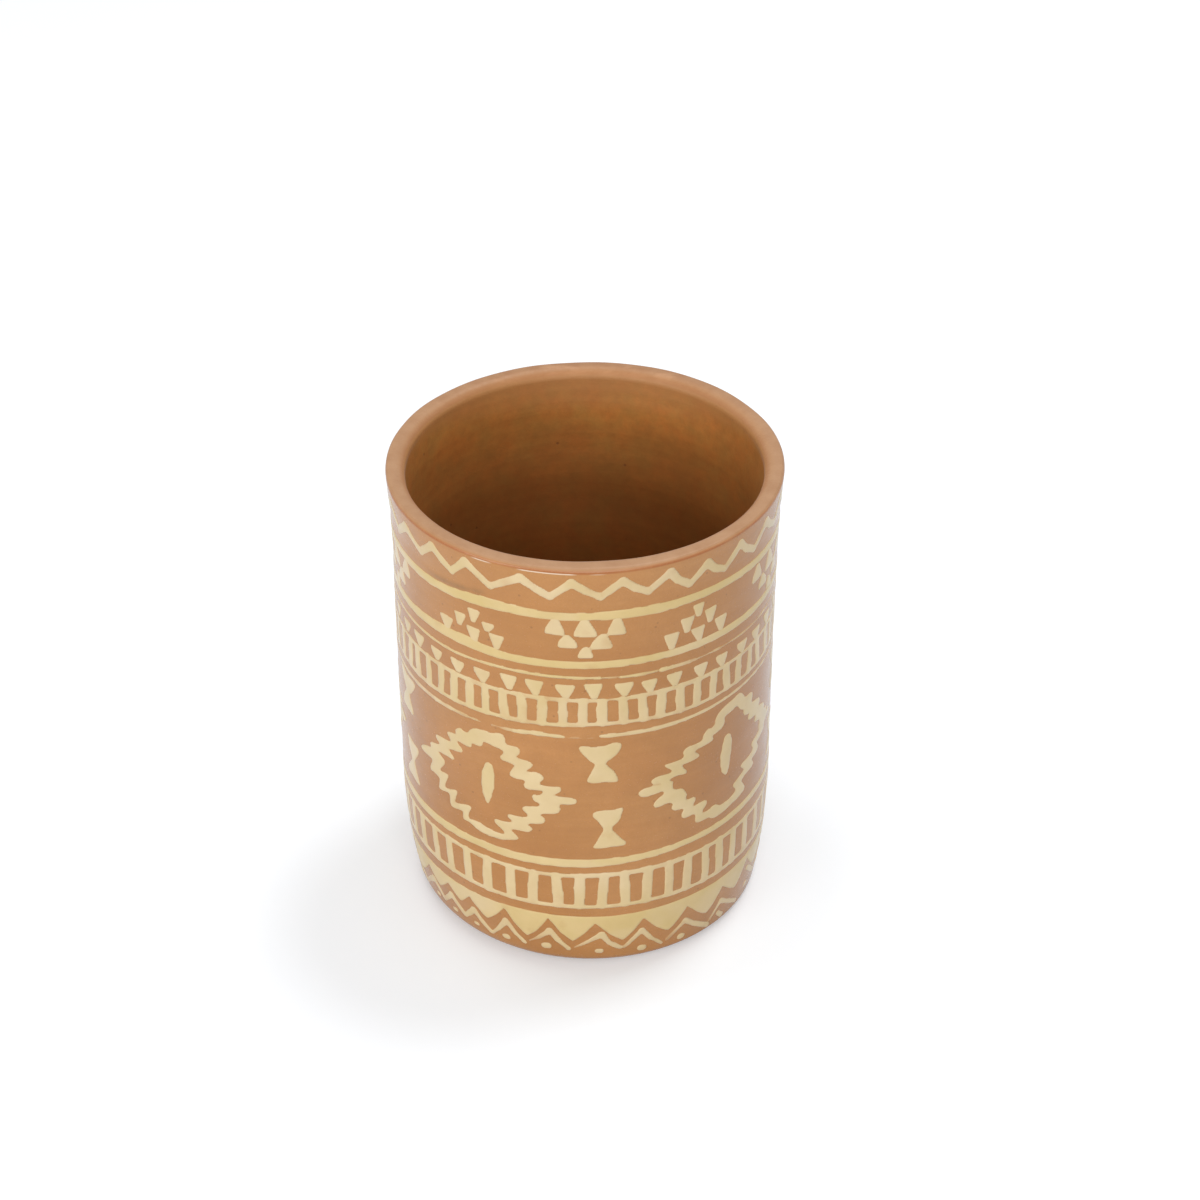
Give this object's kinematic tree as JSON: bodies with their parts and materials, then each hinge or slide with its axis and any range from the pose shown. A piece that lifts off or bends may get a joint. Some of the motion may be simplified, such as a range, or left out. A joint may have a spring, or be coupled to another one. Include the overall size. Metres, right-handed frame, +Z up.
{
  "type": "kulhad cup",
  "caption": "Handleless straight-walled clay tumbler with a drawn-in foot, painted outside with bands of cream slip ornament.",
  "frame": {"origin": "middle of the resting face under the foot", "axes": "+Z up along the axis of the cup, -Y towards the painted front seen in the picture, +X to its right"},
  "size_m": [0.0754, 0.0754, 0.096],
  "materials": {
    "fired_clay": "burnished fired clay, satin",
    "cream_slip": "painted cream slip, satin"
  },
  "bodies": {
    "root": {"clay_cup": "fired_clay", "slip_rim_zigzag": "cream_slip", "slip_upper_line": "cream_slip", "slip_triangle_clusters": "cream_slip", "slip_middle_line": "cream_slip", "slip_thin_line": "cream_slip", "slip_small_triangles": "cream_slip", "slip_upper_ladder": "cream_slip", "slip_broken_line": "cream_slip", "slip_diamonds": "cream_slip", "slip_spindles": "cream_slip", "slip_hourglasses": "cream_slip", "slip_lower_line": "cream_slip", "slip_lower_ladder": "cream_slip", "slip_base_teeth": "cream_slip", "slip_base_zigzag": "cream_slip", "slip_base_dots": "cream_slip"}
  },
  "joints": []
}
